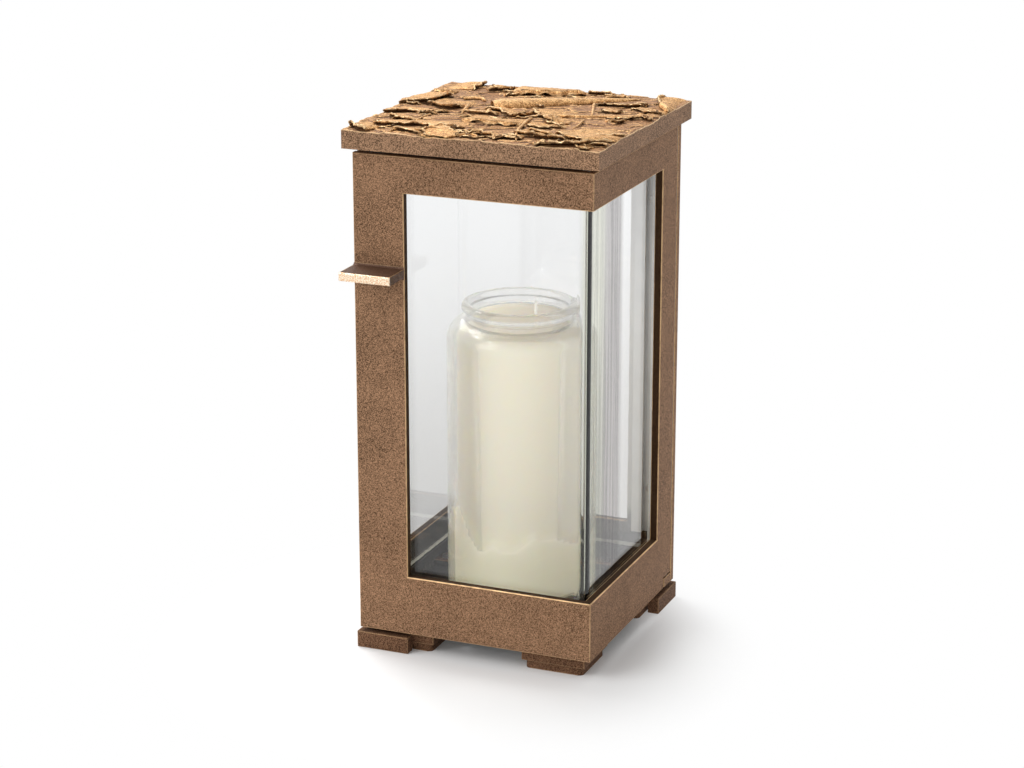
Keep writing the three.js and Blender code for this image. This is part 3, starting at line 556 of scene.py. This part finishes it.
# Bark sheets cast onto the lid: each runs back to the left of its torn lip, which curls up, or under
# where the radius is negative. Lips in shares of the lid's side, right and back from its middle;
# how far back at each end, rise and curl radius in millimetres, curl in degrees.
bark_sheets = (
    (((-0.50, 0.00), (-0.45, 0.02), (-0.41, 0.05), (-0.38, 0.11), (-0.37, 0.21)), 22, 16, 2.4, 1.2, 60),
    (((-0.39, 0.04), (-0.34, -0.02), (-0.28, -0.04), (-0.24, 0.02)), 20, 16, 2.0, 1.0, 100),
    (((-0.16, 0.03), (-0.10, 0.00), (-0.05, -0.03), (0.00, -0.09), (0.03, -0.01)), 11, 8, 1.9, 0.9, 70),
    (((0.03, 0.06), (0.08, -0.02), (0.13, -0.08), (0.18, -0.13)), 14, 6, 1.9, 0.9, 40),
    (((0.32, 0.04), (0.37, 0.05), (0.44, 0.09), (0.49, 0.08)), 8, 11, 1.4, -0.8, 70),
    (((0.20, 0.26), (0.27, 0.26), (0.33, 0.28), (0.39, 0.29)), 9, 6, 1.3, 0.8, 40),
    (((0.36, 0.21), (0.42, 0.19), (0.49, 0.17)), 10, 10, 1.2, 0.8, 60),
    (((0.39, 0.49), (0.41, 0.40), (0.45, 0.31), (0.49, 0.24)), 11, 3, 1.5, 0.8, 90),
    (((-0.47, 0.27), (-0.43, 0.25), (-0.38, 0.26)), 9, 9, 1.8, -1.5, 110),
    (((-0.35, 0.35), (-0.35, 0.42), (-0.345, 0.50)), 13, 13, 1.6, 0.9, 80),
    (((-0.29, 0.42), (-0.25, 0.39), (-0.21, 0.41)), 6, 6, 1.6, 0.9, 80),
    (((-0.17, 0.33), (-0.08, 0.35), (0.01, 0.38), (0.10, 0.41)), 21, 11, 3.4, -1.9, 130),
    (((0.10, 0.44), (0.15, 0.43), (0.20, 0.45)), 7, 5, 1.8, 0.9, 60),
    (((-0.15, -0.20), (-0.08, -0.21), (0.00, -0.23), (0.08, -0.20)), 17, 14, 2.0, -1.5, 120),
    (((-0.50, -0.14), (-0.46, -0.13), (-0.40, -0.11), (-0.29, -0.125)), 12, 9, 1.1, 0.6, 60),
    (((-0.43, -0.21), (-0.36, -0.26), (-0.31, -0.275)), 9, 7, 1.2, 0.7, 70),
    (
        ((-0.43, -0.37), (-0.37, -0.39), (-0.29, -0.36), (-0.19, -0.355), (-0.09, -0.335)),
        13, 16, 1.7, 0.8, 90,
    ),
    (((-0.06, -0.47), (-0.10, -0.42), (-0.15, -0.37), (-0.19, -0.34)), 13, 9, 1.9, 0.9, 50),
    (((0.11, -0.33), (0.16, -0.365), (0.22, -0.36)), 12, 12, 1.4, 0.9, 110),
    (((0.26, -0.31), (0.34, -0.38), (0.42, -0.43)), 30, 20, 2.7, 0.9, 30),
    (((0.42, -0.315), (0.46, -0.26), (0.50, -0.23)), 8, 8, 1.3, 0.8, 80),
    (((0.25, -0.49), (0.33, -0.49), (0.40, -0.46), (0.46, -0.41), (0.49, -0.36)), 9, 9, 1.7, 0.9, 120),
    (((-0.50, -0.42), (-0.46, -0.46), (-0.40, -0.49)), 12, 10, 1.6, 0.9, 100),
    (((-0.32, -0.455), (-0.25, -0.45), (-0.20, -0.47)), 8, 8, 1.1, 0.7, 90),
    (((-0.03, -0.42), (0.02, -0.40), (0.07, -0.43)), 8, 8, 1.3, 0.8, 140),
    (((0.15, -0.13), (0.19, -0.155), (0.23, -0.14)), 6, 6, 1.2, 0.7, 60),
    (((0.26, 0.16), (0.31, 0.13), (0.35, 0.15)), 9, 9, 1.1, 0.7, 60),
    (((0.10, -0.20), (0.19, -0.22), (0.25, -0.19)), 12, 10, 1.0, 0.6, 50),
    (((-0.22, -0.05), (-0.14, -0.07), (-0.07, -0.05)), 11, 9, 1.2, 0.7, 70),
)
sheet_step, sheet_rows, sheet_thick = 0.8, 20, 0.0007
root_band, root_drop = 0.0015, 0.0003
trim = 0.0002


def traced(points, step):
    """Places about step apart along a smooth line through points, which are shares of the lid's side."""
    line = [Vector(point) * lid_side for point in points]
    for _ in range(3):
        cut = [line[0]]
        for first, second in zip(line, line[1:]):
            cut += [first.lerp(second, 0.25), first.lerp(second, 0.75)]
        line = [*cut, line[-1]]
    gone = np.cumsum([0.0] + [(second - first).length for first, second in zip(line, line[1:])])
    even = np.linspace(0, gone[-1], max(8, round(gone[-1] / step)) + 1)
    rights = np.interp(even, gone, [place.x for place in line])
    backs = np.interp(even, gone, [place.y for place in line])
    return [Vector(place) for place in zip(rights, backs)]


def add_sheet(shape, points, depth_start, depth_end, rise, curl, turn, seed):
    """Adds one sheet: t runs from its root to its torn lip, and s along the lip."""
    line = traced(points, sheet_step / 1000)
    last = len(line) - 1
    chord = (line[-1] - line[0]).normalized()
    back = Vector((-chord.y, chord.x))
    raised, wear_and_highlight = shape.verts.layers.float["raised"], shape.verts.layers.float["wear_and_highlight"]
    patina_and_painted_shade = shape.verts.layers.float["patina_and_painted_shade"]
    patch = bmesh.ops.create_grid(shape, x_segments=last, y_segments=sheet_rows, size=1)["verts"]
    shares = [(vert.co.y + 1) / 2 for vert in patch]
    for vert in patch:
        column, t = round((vert.co.x + 1) / 2 * last), (vert.co.y + 1) / 2
        s, far = column / last, column * sheet_step
        ends = min(1.0, 0.35 + 6 * s, 0.35 + 6 * (1 - s))
        torn = 1.8 * noise.noise((far / 6, seed, 0.5)) + 1.4 * noise.noise((far / 2.1, seed, 4.5))
        torn += 0.7 * noise.noise((far / 0.9, seed, 2.5))
        radius = curl * (0.85 + 0.8 * noise.noise((far / 7, seed, 8.0))) * ends
        whole = 1.3 * (depth_start + (depth_end - depth_start) * s)
        ramp = min(1.0, 2 * t)
        bend = math.radians(turn) * max(0.0, 2 * t - 1) * (0.9 + 0.6 * noise.noise((far / 5, seed, 6.0)))
        forward = (whole + torn) * ramp + abs(radius) * math.sin(bend)
        slide = 0.9 * noise.noise((t * 5, 7 * s, seed)) * abs(2 * s - 1)
        spot = line[column] + (back * (whole - forward) + chord * slide) / 1000
        height = swell(spot.x, spot.y)[2] + rise * ends * ramp ** 0.4 + radius * (1 - math.cos(bend))
        height += 0.50 * noise.noise((far / 7, t * whole / 4, seed)) * ramp
        height += (
            0.22 * noise.noise((far / 1.6, t * whole / 3, seed + 3))
            + 0.7 * ramp - 0.9 * (1 - ramp) ** 3
        )
        vert.co = (spot.x + lid_middle.x, spot.y + lid_middle.y, slab_top + height / 1000)
        vert[raised] = 0.6 + 0.4 * ramp ** 2
        # Copper along the lip is wear and painted highlight; the band just behind it is darkened as painted
        # shadow.
        vert[wear_and_highlight] = max(0.0, min(1.0, (t - 0.8) / 0.12))
        vert[patina_and_painted_shade] = (0.55 + noise.noise((far / 4, seed, 1.0))) * max(0.0, 1 - abs(t - 0.58) / 0.17)
        if t > 0.7:
            lips.append(vert.co.copy())
    faces = list({face for vert in patch for face in vert.link_faces})
    shape.normal_update()
    if sum(face.normal.z for face in faces[:200]) < 0:
        bmesh.ops.reverse_faces(shape, faces=faces)
        shape.normal_update()
    outward = [vert.normal.copy() for vert in patch]
    bmesh.ops.extrude_face_region(shape, geom=faces)
    for vert, normal, t in zip(patch, outward, shares):
        vert.co -= normal * sheet_thick
        # The underside is darkened as painted shadow, most just under the lip, lighter at the root.
        vert[patina_and_painted_shade] = max(0.15, min(0.9, (0.93 - t) / 0.14)) * min(1.0, max(0.3, (t - 0.35) / 0.3))
        vert[wear_and_highlight] *= 0.7
        beside, behind = abs(vert.co.x - lid_middle.x), vert.co.y - lid_middle.y
        if t < 0.5 and max(beside, behind) > lid_side / 2 - root_band:
            vert.co.z = slab_top - root_drop
            vert[patina_and_painted_shade] = 0.25


def kept_in(shape):
    """Cuts off what stands over the lid's edges, closes the cuts, and presses down what is too high."""
    for place, outward in (
        ((lid_low.x + trim, 0, 0), (-1, 0, 0)),
        ((lid_high.x - trim, 0, 0), (1, 0, 0)),
        ((0, lid_low.y + trim, 0), (0, -1, 0)),
        ((0, lid_high.y - trim, 0), (0, 1, 0)),
    ):
        parts = [*shape.verts, *shape.edges, *shape.faces]
        cut = bmesh.ops.bisect_plane(shape, geom=parts, plane_co=place, plane_no=outward, clear_outer=True)
        rim = [part for part in cut["geom_cut"] if isinstance(part, bmesh.types.BMEdge)]
        bmesh.ops.holes_fill(shape, edges=rim, sides=0)
    crest, spare = lid_high.z - 0.001, 0.0009
    for vert in shape.verts:
        if vert.co.z > crest:
            vert.co.z = crest + spare * (1 - math.exp((crest - vert.co.z) / spare))


small_flakes = 42
lips = []
shape = bmesh.new()
for layer in ("raised", "patina_and_painted_shade", "wear_and_highlight"):
    shape.verts.layers.float.new(layer)
for seed, sheet in enumerate(bark_sheets):
    add_sheet(shape, *sheet, 10.0 * seed)
chance = random.Random(11)
for flake in range(small_flakes):
    start = Vector((chance.uniform(-0.48, 0.44), chance.uniform(-0.48, 0.46)))
    if flake % 3 == 0:
        start.y = chance.uniform(-0.49, -0.40)
    heading, reach = chance.uniform(-0.5, 0.7), chance.uniform(0.04, 0.12)
    ahead = Vector((math.cos(heading), math.sin(heading))) * reach
    bow = Vector((-ahead.y, ahead.x)) * chance.uniform(-0.35, 0.35)
    points = [start, start + ahead / 2 + bow, start + ahead]
    depth = chance.uniform(4, 10)
    rise, curl, turn = chance.uniform(0.7, 1.5), chance.uniform(0.5, 0.9), chance.uniform(30, 120)
    add_sheet(shape, points, depth, depth * chance.uniform(0.6, 1.2), rise, curl, turn, 500.0 + 7 * flake)
kept_in(shape)
bmesh.ops.recalc_face_normals(shape, faces=shape.faces)
sheets = piece("lid_bark_sheets", shape, (bark_finish,), smooth=True)
sheets.data.set_sharp_from_angle(angle=math.radians(60))
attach(sheets, "lantern")

# Rolls and twigs on the lid: line in shares of the lid's side, radius at each end in millimetres and
# how knobby the skin is; the big one is a curled strip of bark, open at its thick end.
bark_rolls = (
    (((-0.15, 0.085), (0.02, 0.205), (0.18, 0.32), (0.33, 0.42)), 3.7, 0.5, 0.2),
    (((0.14, -0.02), (0.25, 0.02), (0.34, 0.06), (0.47, 0.12)), 0.9, 0.7, 0.3),
    (((0.08, -0.09), (0.09, -0.20), (0.12, -0.34), (0.17, -0.46)), 0.9, 0.5, 0.3),
    (((0.19, 0.27), (0.22, 0.18), (0.26, 0.06)), 0.9, 0.5, 0.4),
    (((0.445, 0.31), (0.47, 0.27), (0.50, 0.23)), 2.0, 1.6, 0.5),
    (((-0.24, 0.07), (-0.22, -0.01), (-0.20, -0.09)), 1.1, 0.4, 0.5),
    (((-0.30, -0.15), (-0.31, -0.21), (-0.305, -0.27)), 0.7, 0.4, 0.5),
    (((-0.11, -0.05), (-0.13, 0.00), (-0.12, 0.04)), 1.2, 0.9, 0.6),
    (((-0.08, -0.49), (-0.05, -0.43), (-0.01, -0.42), (0.02, -0.46)), 0.8, 0.6, 0.6),
    (((-0.31, -0.49), (-0.30, -0.44), (-0.26, -0.42)), 0.7, 0.6, 0.6),
    (((-0.30, 0.16), (-0.25, 0.20), (-0.21, 0.16)), 1.0, 0.8, 0.8),
    (((0.27, -0.05), (0.28, -0.12), (0.275, -0.18)), 0.6, 0.4, 0.4),
)
big_radius = 2.5
mouth_rim, mouth_depth = 0.0006, 0.006
shape = bmesh.new()
blank = bpy.data.meshes.new("roll_blank")
for seed, (points, start_radius, end_radius, knobs) in enumerate(bark_rolls):
    rod = bmesh.new()
    raised, patina_and_painted_shade, wear_and_highlight = [rod.verts.layers.float.new(layer) for layer in ("raised", "patina_and_painted_shade", "wear_and_highlight")]
    big = start_radius > big_radius
    line = traced(points, 0.0006)
    last = len(line) - 1
    bmesh.ops.create_cone(
        rod, cap_ends=True, cap_tris=False, segments=28, radius1=1.0, radius2=1.0, depth=1.0,
    )
    long_edges = [edge for edge in rod.edges if edge.calc_length() > 0.9]
    bmesh.ops.subdivide_edges(rod, edges=long_edges, cuts=last - 1)
    for vert in rod.verts:
        t = vert.co.z + 0.5
        column = round(t * last)
        ahead = (line[min(last, column + 1)] - line[max(0, column - 1)]).normalized()
        angle = math.atan2(vert.co.y, vert.co.x)
        radius = start_radius + (end_radius - start_radius) * t ** 1.6
        radius *= min(1.0, 0.75 + 4 * t, 0.35 + 9 * (1 - t))
        skin = noise.noise((column * 0.6, math.cos(angle) * 2.2, math.sin(angle) * 2.2 + seed))
        lump = noise.noise((column * 0.12, math.cos(angle), math.sin(angle) + seed))
        radius *= 1 + knobs * (0.16 * skin + 0.25 * lump)
        wide = 1.7 if big else 1.0
        spot = line[column] + Vector((-ahead.y, ahead.x)) * wide * radius * math.cos(angle) / 1000
        low = 1.5 if big else swell(line[column].x, line[column].y)[2] + 0.7 + 0.5 * radius
        height = low + radius * math.sin(angle)
        vert.co = (spot.x + lid_middle.x, spot.y + lid_middle.y, slab_top + height / 1000)
        vert[raised] = 0.95
        # Painted highlight along the top of each roll; painted shadow along its underside.
        vert[wear_and_highlight] = 0.3 * max(0.0, math.sin(angle)) ** 3
        vert[patina_and_painted_shade] = 0.9 * min(1.0, max(0.0, 0.15 - 1.5 * math.sin(angle)))
        if big:
            lips.append(vert.co.copy())
    if big:
        rod.normal_update()
        ends = [face for face in rod.faces if len(face.verts) > 20]
        mouth = min(ends, key=lambda face: face.calc_center_median().x)
        inward = -mouth.normal
        bmesh.ops.inset_individual(rod, faces=[mouth], thickness=mouth_rim)
        for vert in mouth.verts:
            vert.co += inward * mouth_depth
            # Painted shadow inside the big roll's open mouth.
            vert[patina_and_painted_shade] = 1.0
    rod.to_mesh(blank)
    rod.free()
    shape.from_mesh(blank)
bpy.data.meshes.remove(blank)
kept_in(shape)
bmesh.ops.recalc_face_normals(shape, faces=shape.faces)
rolls = piece("lid_bark_rolls", shape, (bark_finish,), smooth=True)
rolls.data.set_sharp_from_angle(angle=math.radians(60))
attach(rolls, "lantern")

# Painted shadow: the slab is darkened where it lies close to the lips and to the big roll.
lip_shade = 0.0017
lip_places = kdtree.KDTree(len(lips))
for i, lip in enumerate(lips):
    lip_places.insert(Vector((lip.x, lip.y, 0)), i)
lip_places.balance()
dark = lid_cast.data.attributes["patina_and_painted_shade"].data
for vert in lid_cast.data.vertices:
    if vert.co.z > slab_top - 0.001:
        away = lip_places.find(Vector((vert.co.x, vert.co.y, 0)))[2]
        dark[vert.index].value = max(dark[vert.index].value, 0.9 - away / lip_shade)

# Glass: each half holds one pane of 3 mm glass bent round its corner, clear with a green cast in the
# thickness, slightly uneven near the bend, its lower edge rough cut.


def clear_glass(name, tint, build=None, roughness=0.0, thin=0.0):
    """Glass that bends what is seen through it and lets lamp light through to what it holds."""
    material = bpy.data.materials.new(name)
    tree = Tree(material)
    values = {"Base Color": tint, "Roughness": roughness, "Transmission Weight": 1.0, "IOR": 1.5}
    if build:
        values.update(build(tree))
    body = tree.node("ShaderNodeBsdfPrincipled", None, values)
    through = tree.node("ShaderNodeBsdfTransparent", None, {0: tuple(0.25 + 0.75 * part for part in tint)})
    lamps = tree.node("ShaderNodeLightPath", output=1) + tree.node("ShaderNodeLightPath", output=2)
    share = lamps.math("MAXIMUM", thin).math("MINIMUM", 1.0)
    tree.node("ShaderNodeOutputMaterial", None, {
        0: tree.node("ShaderNodeMixShader", None, {0: share, 1: body, 2: through}),
    })
    return material


def drawn(tree):
    """Faint upright waves, darker and greyer towards the bottom, and a smoky streaked band beside the near
    bend.
    """
    here = tree.spot((0, 0, 0))
    streaks = tree.grain(tree.spot((0, 0, 0), stretch=(1.0, 1.0, 0.02)), 300.0, 3.0, 0.6)
    places = [tree.node("ShaderNodeSeparateXYZ", None, {0: here}, output=axis) for axis in range(3)]
    low_down = 1.0 - (places[2] - sill).limited(0.0, 0.20)
    colour = tree.blend(low_down, (0.955, 0.960, 0.962), (0.790, 0.787, 0.780))
    beside = (places[0] - inner_half).limited(-0.006, -0.001)
    beside = beside * (1.0 - (places[1] - axis_y + inner_half).limited(0.045, 0.054))
    streaks = streaks.limited(0.38, 0.62)
    further = (places[1] - axis_y + inner_half).limited(0.020, 0.030)
    greenish = tree.blend(streaks, (0.32, 0.33, 0.26), (0.72, 0.73, 0.60))
    greyish = tree.blend(streaks, (0.16, 0.145, 0.145), (0.50, 0.465, 0.460))
    smoky = tree.blend(further, greenish, greyish)
    return {
        "Base Color": tree.blend(beside * 0.9, colour, smoky),
        "Normal": tree.bump(tree.grain(here, 45.0), 0.03, 0.0006),
    }


pane_finish = clear_glass("pane_glass", (0.95, 0.955, 0.95), drawn)
rough_cut = mottled(500.0, (0.70, 0.71, 0.69), (0.93, 0.94, 0.92), 0.45, 0.2, 900.0)
ground_finish = finish("ground_glass_edge", {"IOR": 1.5, "Transmission Weight": 0.25}, rough_cut)
bend_steps = 12


def bent_pane(node, side, body):
    """side is 1 for the pane round the near corner and -1 for the one round the back corner."""
    low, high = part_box(node)
    size = high.x - low.x
    outer = high.x if side > 0 else -low.x
    bend, thick = 0.006, 0.003
    straight = size - bend
    shape = bmesh.new()
    across = [0.0, 0.25, 0.5, 0.75, 0.9, 0.97, 1.0]
    path = [(outer - size + straight * part, -outer) for part in across]
    for step in range(1, bend_steps):
        angle = -math.pi / 2 + step / bend_steps * math.pi / 2
        path.append((outer - bend + bend * math.cos(angle), -outer + bend + bend * math.sin(angle)))
    path += [(outer, -outer + bend + straight * (1 - part)) for part in reversed(across)]
    rough = []
    for (x0, y0), (x1, y1) in zip(path, path[1:]):
        pieces_here = max(1, round(math.hypot(x1 - x0, y1 - y0) / 0.0012))
        rough += [
            (x0 + (x1 - x0) * i / pieces_here, y0 + (y1 - y0) * i / pieces_here)
            for i in range(pieces_here)
        ]
    rough.append(path[-1])
    verts = []
    for x, y in rough:
        chip = (
            0.0005 * noise.noise((x * 130, y * 130, side))
            + 0.0003 * noise.noise((x * 600, y * 600, side))
        )
        verts.append(shape.verts.new((side * x, side * y + axis_y, low.z + 0.0006 + chip)))
    edges = [shape.edges.new(pair) for pair in zip(verts, verts[1:])]
    for level in (low.z + 0.0019, high.z):
        grown = bmesh.ops.extrude_edge_only(shape, edges=edges)["geom"]
        upper = {item for item in grown if isinstance(item, bmesh.types.BMVert)}
        for vert in upper:
            vert.co.z = level + (0.0 if level == high.z else 0.0007 * noise.noise(vert.co * 300))
        edges = [item for item in grown if isinstance(item, bmesh.types.BMEdge)]
        edges = [edge for edge in edges if upper.issuperset(edge.verts)]
    bmesh.ops.recalc_face_normals(shape, faces=shape.faces)
    first = shape.faces[:][0]
    middle = first.calc_center_median()
    if (middle - Vector((0, axis_y, middle.z))).dot(first.normal) < 0:
        bmesh.ops.reverse_faces(shape, faces=shape.faces)
    bmesh.ops.solidify(shape, geom=shape.faces[:], thickness=thick)
    bmesh.ops.recalc_face_normals(shape, faces=shape.faces)
    for face in shape.faces:
        if face.normal.z < -0.5 or face.calc_center_median().z < low.z + 0.0024:
            face.material_index = 1
    pane = piece(node + "_bent", shape, (pane_finish, ground_finish), smooth=True)
    pane.data.set_sharp_from_angle(angle=math.radians(30))
    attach(pane, body)
    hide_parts(node)


bent_pane("door_glass", 1, "door")
bent_pane("back_glass", -1, "lantern")

# Candle: a pressed glass jar with a rounded shoulder and beaded rim, filled with cream wax that has
# shrunk from the glass except low down, a little melted on top, and a cotton wick.
jar_low, jar_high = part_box("candle_jar")
jar_radius = (jar_high.x - jar_low.x) / 2
jar_wall, jar_floor, base_round, shoulder = 0.004, 0.008, 0.005, 0.012
rim_radius, rim_height, neck_radius, neck_height, mouth_radius = 0.0308, 0.005, 0.0284, 0.003, 0.0265
shoulder_middle = jar_radius - shoulder
shoulder_level = jar_high.z - rim_height - neck_height - shoulder


def arc(r, z, radius, start, end, steps=10):
    """Points of an arc about r, z, from one angle to another in quarter turns."""
    turns = [(start + (end - start) * i / steps) * math.pi / 2 for i in range(steps + 1)]
    return [(r + radius * math.cos(a), z + radius * math.sin(a)) for a in turns]


def turned(name, profile, material, centre, sides=96):
    """A round piece: a profile of radius and height, turned about an upright axis."""
    shape = bmesh.new()
    verts = [shape.verts.new((centre[0] + r, centre[1], z)) for r, z in profile]
    edges = [shape.edges.new(pair) for pair in zip(verts, verts[1:])]
    bmesh.ops.spin(
        shape, geom=verts + edges, cent=(*centre, 0), axis=(0, 0, 1), angle=math.tau, steps=sides,
        use_merge=True,
    )
    bmesh.ops.remove_doubles(shape, verts=shape.verts, dist=weld)
    bmesh.ops.recalc_face_normals(shape, faces=shape.faces)
    return piece(name, shape, (material,), smooth=True)


bead = rim_height / 2
inner_base = jar_low.z + jar_floor
inner_radius = jar_radius - jar_wall
jar_profile = [
    (0, jar_low.z),
    *arc(jar_radius - base_round, jar_low.z + base_round, base_round, -1, 0),
    *arc(shoulder_middle, shoulder_level, shoulder, 0, 0.88, 14),
    (neck_radius, shoulder_level + shoulder),
    (neck_radius, jar_high.z - rim_height),
    *arc(rim_radius - bead, jar_high.z - bead, bead, -0.6, 1),
    (mouth_radius + 0.0004, jar_high.z),
    (mouth_radius, jar_high.z - 0.0005),
    (mouth_radius, shoulder_level + shoulder - jar_wall),
    *arc(shoulder_middle, shoulder_level, shoulder - jar_wall, 0.94, 0, 14),
    *arc(inner_radius - base_round / 2, inner_base + base_round / 2, base_round / 2, 0, -1),
    (0, inner_base),
]
jar_finish = clear_glass("jar_glass", (0.98, 0.978, 0.962), roughness=0.04, thin=0.35)
jar = turned("candle_jar_pressed", jar_profile, jar_finish, (0.0, axis_y))
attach(jar, "lantern")
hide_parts("candle_jar")

wax_low, wax_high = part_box("candle_wax")
wax_radius = (wax_high.x - wax_low.x) / 2


def waxy(tree):
    """Cream wax, yellower low down and lighter there as painted light, browner on top, with a painted glow in
    place of the light scattered inside it, strongest low down.
    """
    here = tree.spot((0, 0, 0))
    z = tree.node("ShaderNodeSeparateXYZ", None, {0: here}, output=2)
    low_part = 1.0 - (z - wax_low.z).limited(0.004, 0.055)
    colour = tree.blend(low_part * 0.8, (0.955, 0.878, 0.748), (0.98, 0.93, 0.71))
    clouds = tree.grain(here, 40.0, 4.0, 0.6).limited(0.3, 0.75)
    colour = tree.blend(clouds * 0.18, colour, (0.93, 0.87, 0.72))
    top = (z - wax_high.z).limited(-0.0012, -0.0002)
    colour = tree.blend(top * 0.8, colour, (0.60, 0.50, 0.36))
    return {
        "Base Color": colour,
        "Roughness": 0.45 + 0.2 * clouds,
        "Emission Color": tree.blend(low_part, (0.142, 0.119, 0.095), (0.350, 0.314, 0.215)),
        "Normal": tree.bump(tree.grain(here, 150.0, 3.0), 0.1, 0.0004),
    }


wax_finish = finish("cream_wax", {
    "Subsurface Weight": 0.8,
    "Subsurface Radius": (1.0, 0.8, 0.5),
    "Subsurface Scale": 0.02,
    "Emission Strength": 1.0,
    "IOR": 1.44,
}, waxy)
wax_gap = inner_radius - wax_radius
touching = (inner_radius + 0.0001) / wax_radius
wax_neck = mouth_radius - wax_gap
wax_shoulder = shoulder - jar_wall - wax_gap
wax_profile = [
    (0, wax_low.z),
    (wax_radius - wax_gap, wax_low.z),
    *[(wax_radius, wax_low.z + wax_gap + 0.002 * i) for i in range(40)],
    *arc(shoulder_middle, shoulder_level, wax_shoulder, 0, 0.9, 12),
    (wax_neck, shoulder_level + wax_shoulder),
    (wax_neck, wax_high.z),
    (wax_neck - 0.0015, wax_high.z - 0.0009),
    (wax_neck * 0.6, wax_high.z - 0.0014),
    (0, wax_high.z - 0.0012),
]
wax = turned("candle_wax_poured", wax_profile, wax_finish, (0.0, axis_y))
for vert in wax.data.vertices:
    out = Vector((vert.co.x, vert.co.y - axis_y))
    edge = wax_low.z + 0.036 + 0.017 * noise.noise((out.x * 65, out.y * 65, 5.0))
    if out.length > wax_radius - 0.0001 and vert.co.z < edge:
        vert.co.xy = (out.x * touching, out.y * touching + axis_y)
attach(wax, "lantern")
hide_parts("candle_wax")



def woven(tree):
    """Pale cotton with a fine grain along the wick, and a painted glow that lightens it inside the jar."""
    glow = tree.grain(tree.spot((0, 0, 0)), 700.0)
    strands = tree.grain(tree.spot((0, 0, 0), stretch=(1.0, 1.0, 0.5)), 2500.0)
    return {
        "Emission Color": tree.blend(glow, (0.90, 0.87, 0.80), (1.0, 0.98, 0.93)),
        "Base Color": tree.blend(strands, (0.72, 0.69, 0.62), (0.92, 0.90, 0.84)),
        "Roughness": 0.8 + 0.1 * tree.grain(tree.spot((0, 0, 0)), 900.0),
    }


cotton_finish = finish("cotton", {"Sheen Weight": 0.3, "Emission Strength": 0.35}, woven)
wick_low, wick_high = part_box("candle_wick")
wick_middle = (wick_low + wick_high) / 2
shape = bmesh.new()
strand = bmesh.ops.create_cone(
    shape, cap_ends=True, cap_tris=False, segments=20, radius1=0.00085, radius2=0.0007,
    depth=wick_high.z - wick_low.z,
)["verts"]
upright = [edge for edge in shape.edges if abs(edge.verts[0].co.z - edge.verts[1].co.z) > 0.01]
bmesh.ops.subdivide_edges(shape, edges=upright, cuts=120)
for vert in shape.verts:
    twist = math.atan2(vert.co.y, vert.co.x) + vert.co.z * 900
    vert.co.xy *= 1 + 0.12 * math.sin(3 * twist)
bmesh.ops.translate(shape, verts=shape.verts, vec=wick_middle)
bmesh.ops.recalc_face_normals(shape, faces=shape.faces)
wick = piece("candle_wick_braided", shape, (cotton_finish,), smooth=True)
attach(wick, "lantern")
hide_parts("candle_wick")
